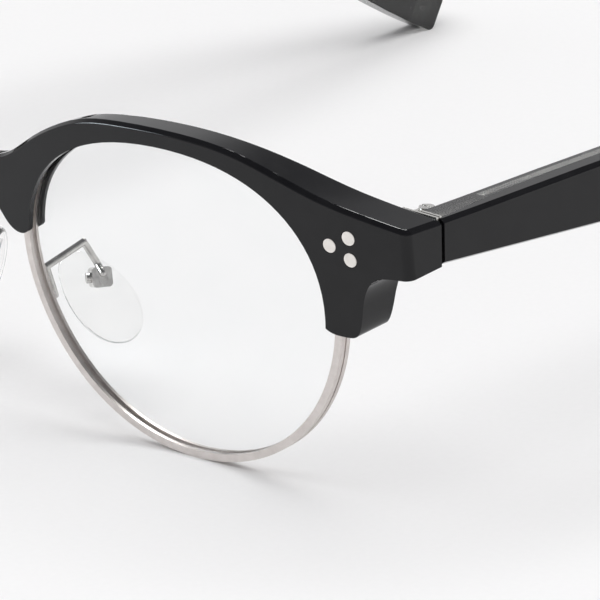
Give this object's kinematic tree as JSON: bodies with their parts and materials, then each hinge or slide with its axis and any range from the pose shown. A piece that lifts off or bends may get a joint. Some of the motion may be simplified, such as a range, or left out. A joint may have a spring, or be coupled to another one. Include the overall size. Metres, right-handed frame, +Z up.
{
  "type": "browline eyeglasses",
  "caption": "Open round browline spectacles: black acetate brow and temples, thin satin metal rims, clear lenses, adjustable nose pads and folding side arms.",
  "frame": {"origin": "middle of the bounding box, on the table plane the glasses stand on", "axes": "+X towards the wearer's left, +Y rearward along the temples, +Z up; the lenses face -Y"},
  "size_m": [0.1428, 0.1576, 0.0424],
  "materials": {
    "black_acetate": "polished black acetate",
    "clear_acetate": "polished clear acetate",
    "clear_silicone": "clear soft pad",
    "lens": "clear demonstration lens",
    "satin_metal": "satin warm silver",
    "bright_metal": "polished silver",
    "hinge_metal": "plated nickel silver",
    "rivet_metal": "flush satin",
    "core_metal": "engraved with small dots",
    "dark_metal": "blackened"
  },
  "bodies": {
    "front": {"brow": "black_acetate", "rim_left": "satin_metal", "rim_right": "satin_metal", "lens_left": "lens", "lens_right": "lens", "rim_block_lower_left": "satin_metal", "rim_block_lower_right": "satin_metal", "rim_block_upper_left": "satin_metal", "rim_block_upper_right": "satin_metal", "rim_screw_left": "bright_metal", "rim_screw_right": "bright_metal", "rim_post_left": "satin_metal", "rim_post_right": "satin_metal", "brow_screw_left": "dark_metal", "brow_screw_right": "dark_metal", "rivets_left": "rivet_metal", "rivets_right": "rivet_metal", "hinge_front_left": "hinge_metal", "hinge_front_right": "hinge_metal", "hinge_screw_left": "bright_metal", "hinge_screw_right": "bright_metal", "pad_arm_left": "bright_metal", "pad_arm_right": "bright_metal", "pad_box_left": "bright_metal", "pad_box_right": "bright_metal", "pad_screw_left": "bright_metal", "pad_screw_right": "bright_metal"},
    "temple_left": {"hinge_temple_left": "hinge_metal", "temple_outer_left": "black_acetate", "temple_inner_left": "clear_acetate", "temple_core_left": "core_metal"},
    "temple_right": {"hinge_temple_right": "hinge_metal", "temple_outer_right": "black_acetate", "temple_inner_right": "clear_acetate", "temple_core_right": "core_metal"},
    "pad_left": {"nose_pad_left": "clear_silicone"},
    "pad_right": {"nose_pad_right": "clear_silicone"}
  },
  "joints": [
    {"name": "temple_left_fold", "type": "hinge", "parent": "front", "child": "temple_left", "pos_m": [0.0645, -0.06337, 0.03345], "axis": [0, 0, 1], "range_deg": [0, 90]},
    {"name": "temple_right_fold", "type": "hinge", "parent": "front", "child": "temple_right", "pos_m": [-0.0645, -0.06337, 0.03345], "axis": [0, 0, -1], "range_deg": [0, 76]},
    {"name": "pad_left_rock", "type": "hinge", "parent": "front", "child": "pad_left", "pos_m": [0.011, -0.06571, 0.0157], "axis": [0.5, 0.866, 0], "range_deg": [-8, 8]},
    {"name": "pad_right_rock", "type": "hinge", "parent": "front", "child": "pad_right", "pos_m": [-0.011, -0.06571, 0.0157], "axis": [-0.5, 0.866, 0], "range_deg": [-8, 8]}
  ]
}
